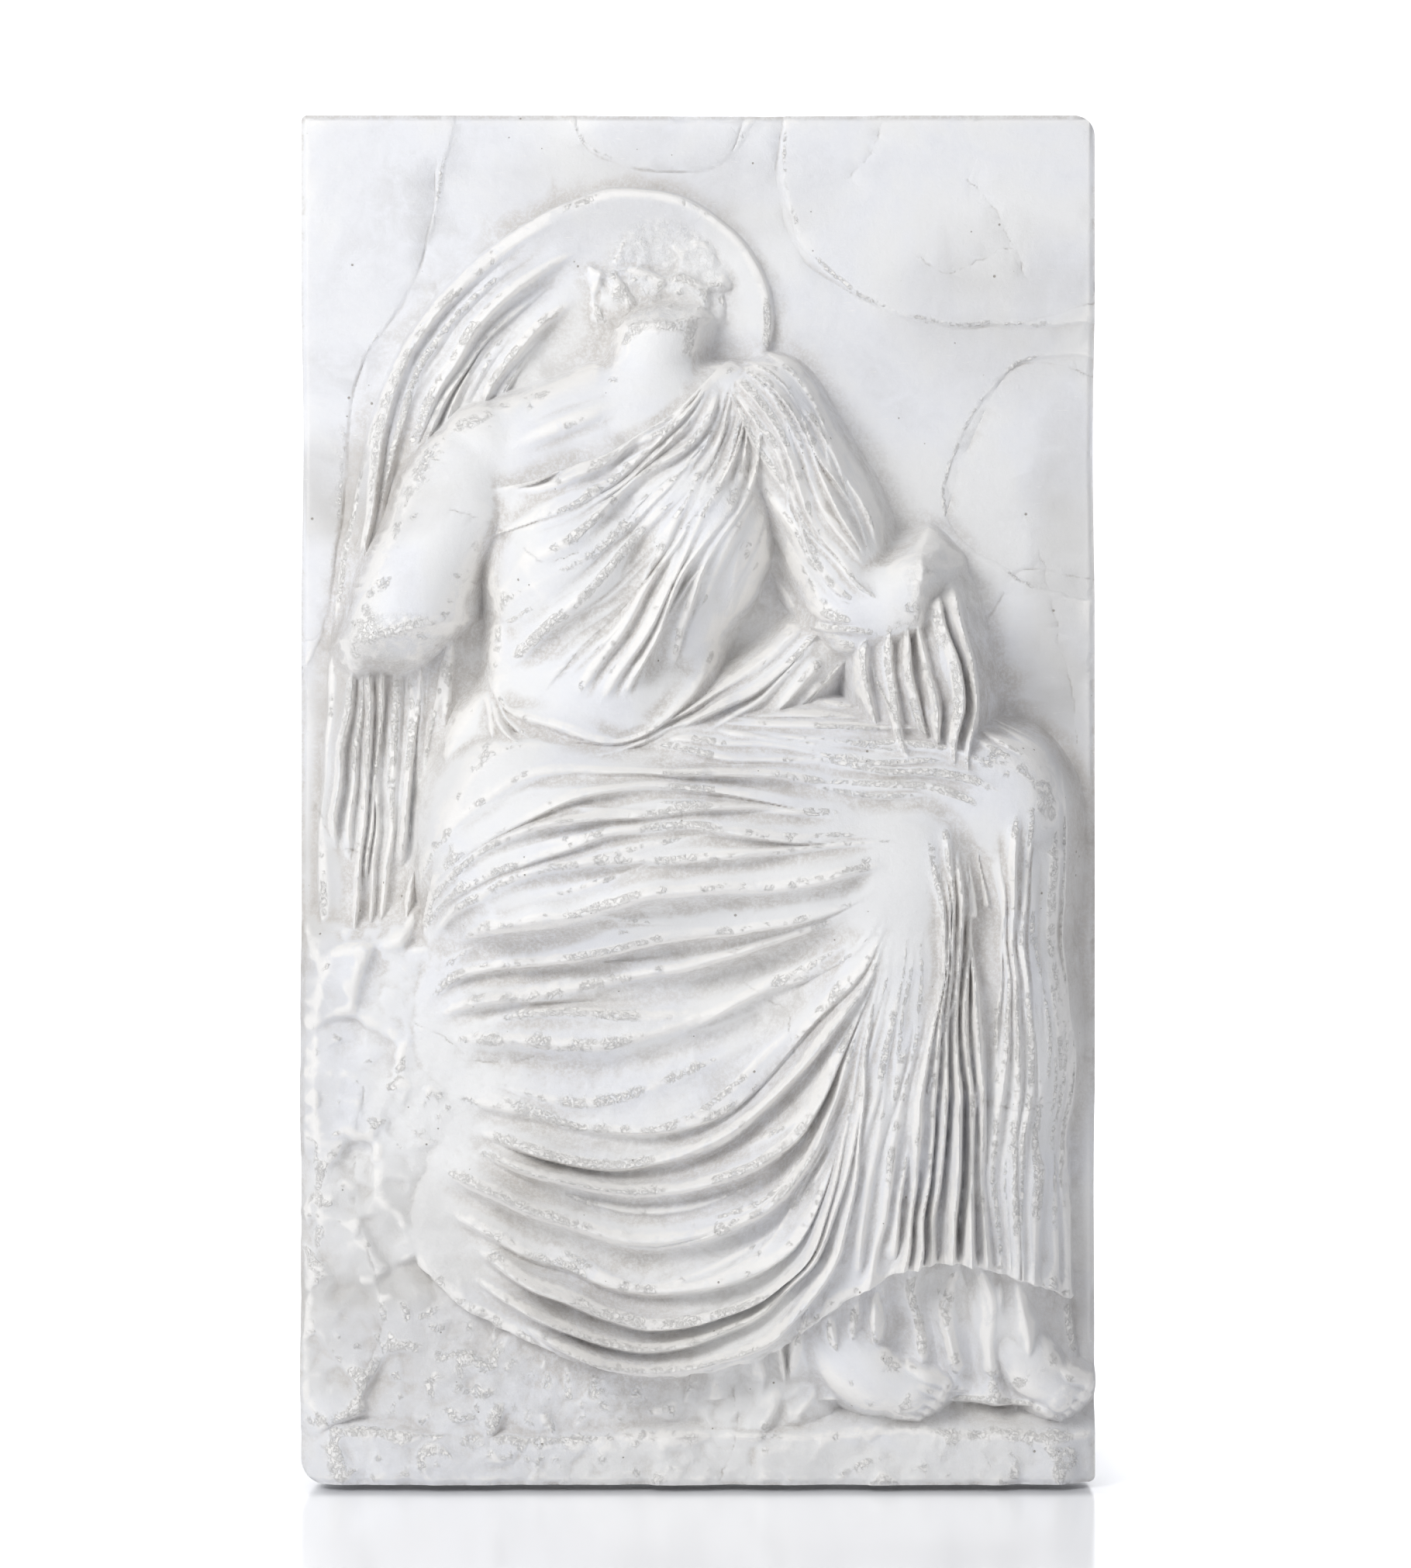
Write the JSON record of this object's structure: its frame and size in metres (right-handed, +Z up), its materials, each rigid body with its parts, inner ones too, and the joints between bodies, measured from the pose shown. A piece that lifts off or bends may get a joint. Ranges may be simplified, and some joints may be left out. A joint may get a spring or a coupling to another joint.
{
  "type": "plaster relief plaque",
  "caption": "Upright plaster slab carved in high relief with a worn, headless, draped figure seated on rock, flat at the back to fix on a wall.",
  "frame": {"origin": "centre of the flat back face, where the plaque meets the wall", "axes": "+Z up along the height, +Y out of the back into the wall, so the carved front faces -Y and +X is to the viewer's right"},
  "size_m": [0.617, 0.1738, 1.06],
  "materials": {
    "plaster": "matte"
  },
  "bodies": {
    "root": {"relief_plaque": "plaster"}
  },
  "joints": []
}
